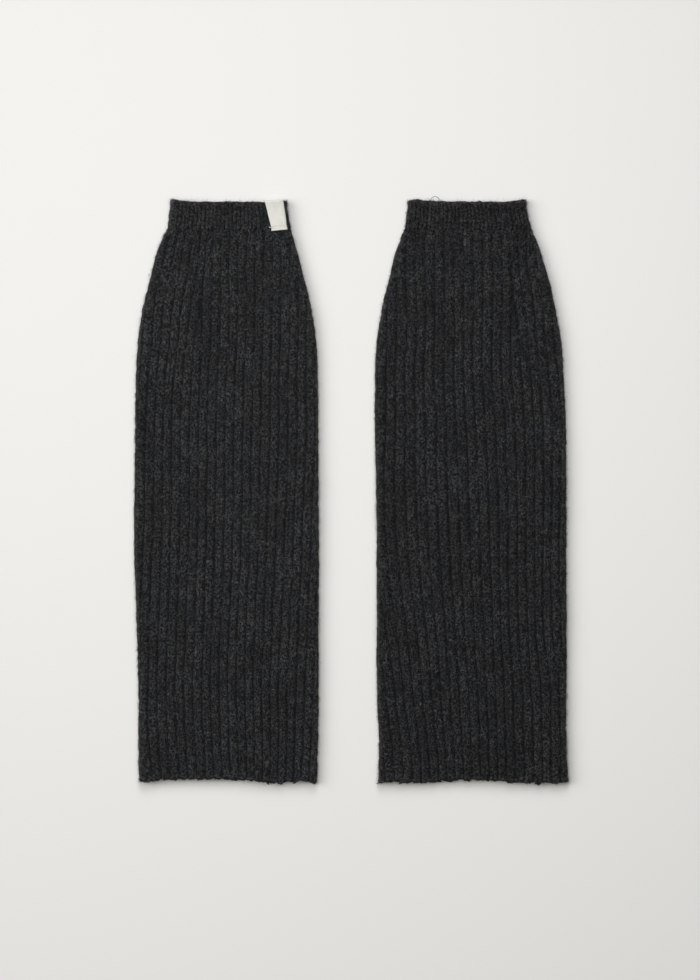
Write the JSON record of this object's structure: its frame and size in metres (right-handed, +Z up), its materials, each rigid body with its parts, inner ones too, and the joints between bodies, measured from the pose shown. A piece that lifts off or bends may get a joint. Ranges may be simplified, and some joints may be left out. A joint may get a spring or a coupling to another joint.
{
  "type": "pair of leg warmers",
  "caption": "Pair of charcoal ribbed wool-knit leg warmers laid flat side by side: narrow fine-rib cuffs at the top, flared wide-rib bodies, open hems and a bare tape label.",
  "frame": {"origin": "Centre of the pair's bounding box, at the height of the surface that it lies on.", "axes": "+X across the pair, from the labelled leg warmer to the other one; +Y along the legs, from the hems to the cuffs; +Z up out of the surface, towards the viewer."},
  "size_m": [0.3276, 0.4398, 0.0079],
  "materials": {
    "body_rib": "matte melange wool, 2x2 rib",
    "cuff_rib": "matte melange wool, 1x1 rib",
    "label_tape": "matte off-white woven tape"
  },
  "bodies": {
    "root": {"left_body": "body_rib", "left_cuff": "cuff_rib", "left_label": "label_tape", "right_body": "body_rib", "right_cuff": "cuff_rib"}
  },
  "joints": []
}
